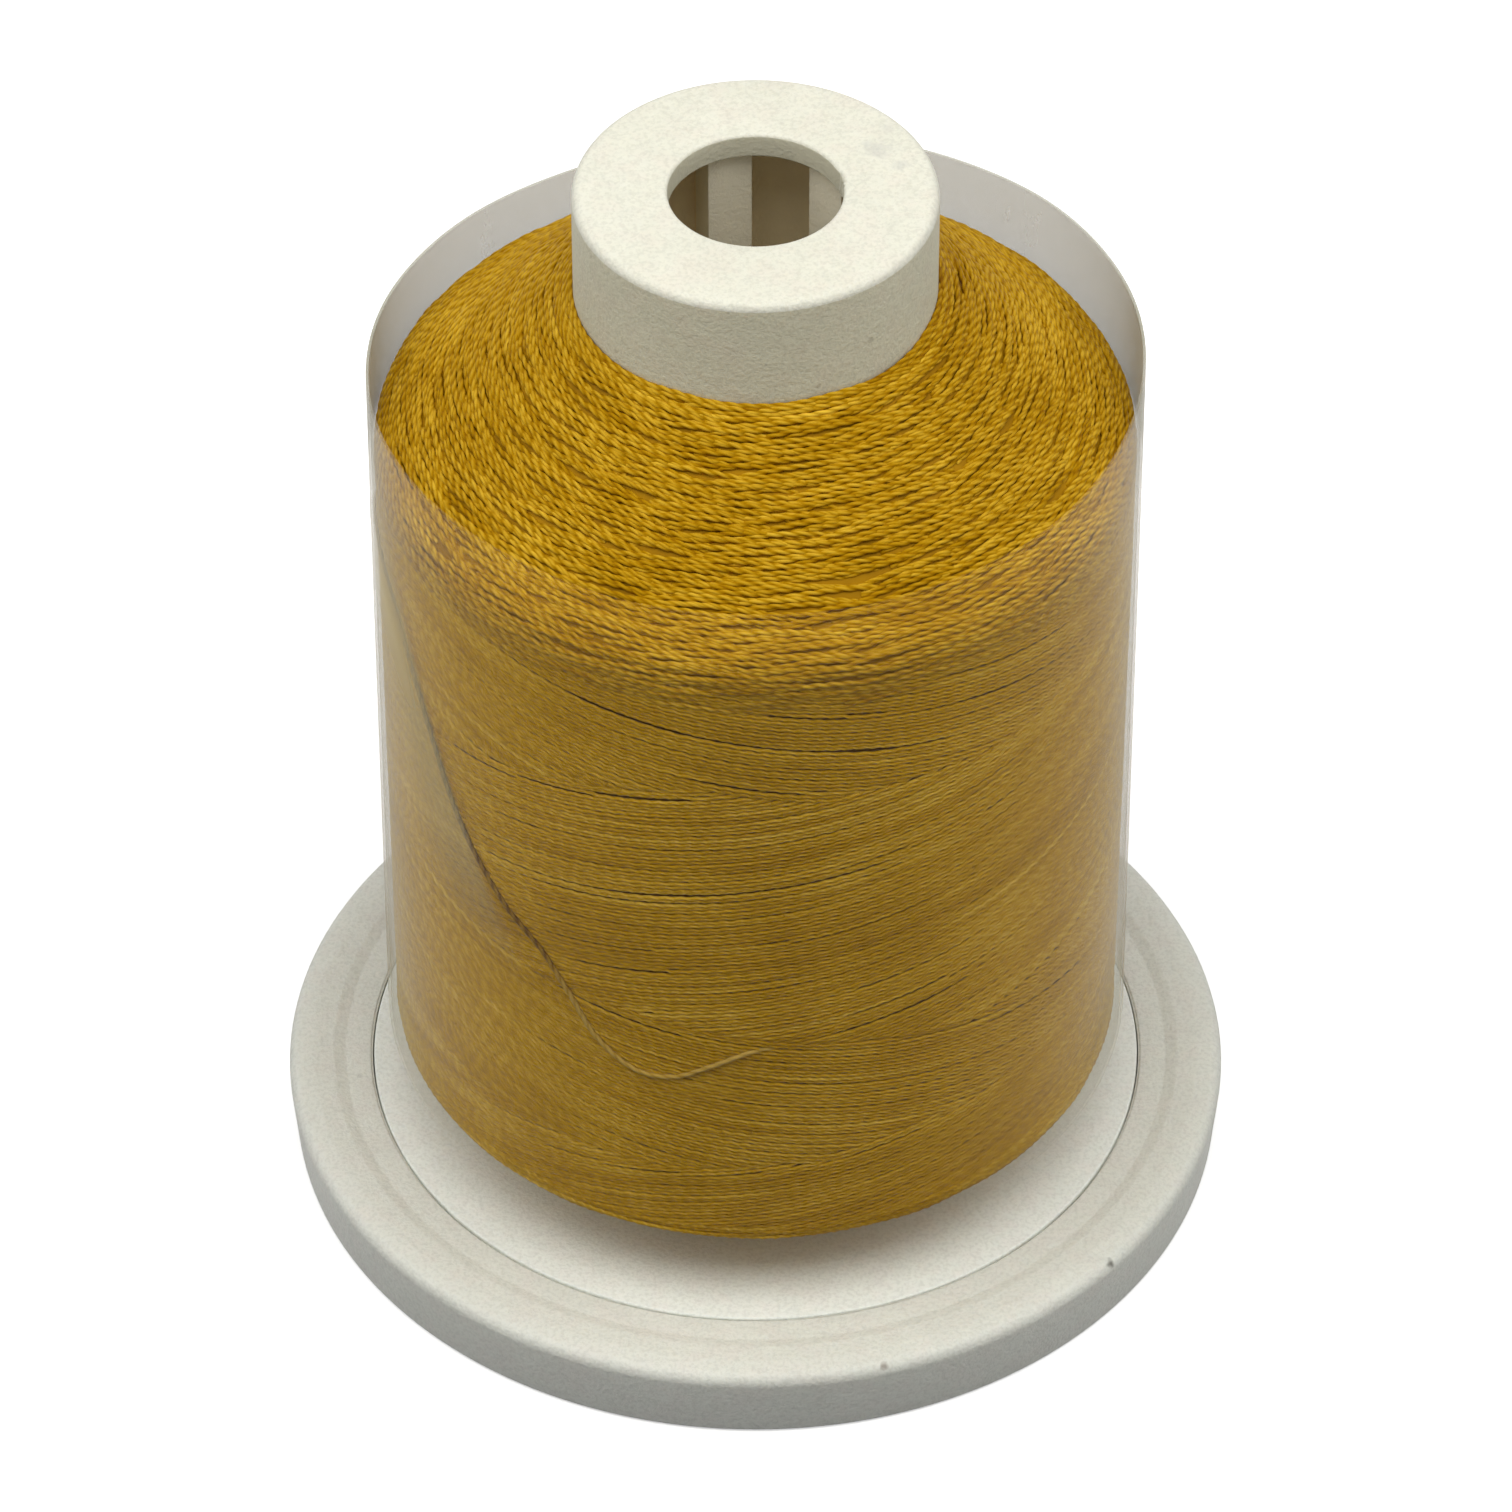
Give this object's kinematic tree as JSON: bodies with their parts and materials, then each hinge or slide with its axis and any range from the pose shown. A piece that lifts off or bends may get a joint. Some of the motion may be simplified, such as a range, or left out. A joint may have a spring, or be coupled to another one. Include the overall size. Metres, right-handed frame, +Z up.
{
  "type": "spool of thread",
  "caption": "Upright thread spool: bored hollow core with flange, cross-wound thread with a conical shoulder, round snap-fit base and clear film sleeve.",
  "frame": {"origin": "centre of the surface that the base stands on, on the spindle axis", "axes": "+Z up along the spindle axis towards the collar; -Y towards the side where the thread's loose end shows; +X to the right seen from there"},
  "size_m": [0.0508, 0.0508, 0.0633],
  "materials": {
    "base_plastic": "white moulded polystyrene, fine matt grain",
    "core_plastic": "white moulded polystyrene, fine matt grain",
    "thread": "two-ply lustrous filament thread, old gold",
    "thread_end": "two-ply lustrous filament thread, old gold",
    "clear_film": "thin clear plastic film, glossy, slightly scuffed"
  },
  "bodies": {
    "base": {"snap_base": "base_plastic"},
    "spool": {"spool_core": "core_plastic", "thread_winding": "thread", "thread_tail": "thread_end"},
    "sleeve": {"clear_sleeve": "clear_film"}
  },
  "joints": [
    {"name": "base_snap", "type": "slide", "parent": "base", "child": "spool", "axis": [0, 0, 1], "range_m": [0, 0.003]},
    {"name": "sleeve_lift", "type": "slide", "parent": "spool", "child": "sleeve", "axis": [0, 0, 1], "range_m": [0, 0.058]}
  ]
}
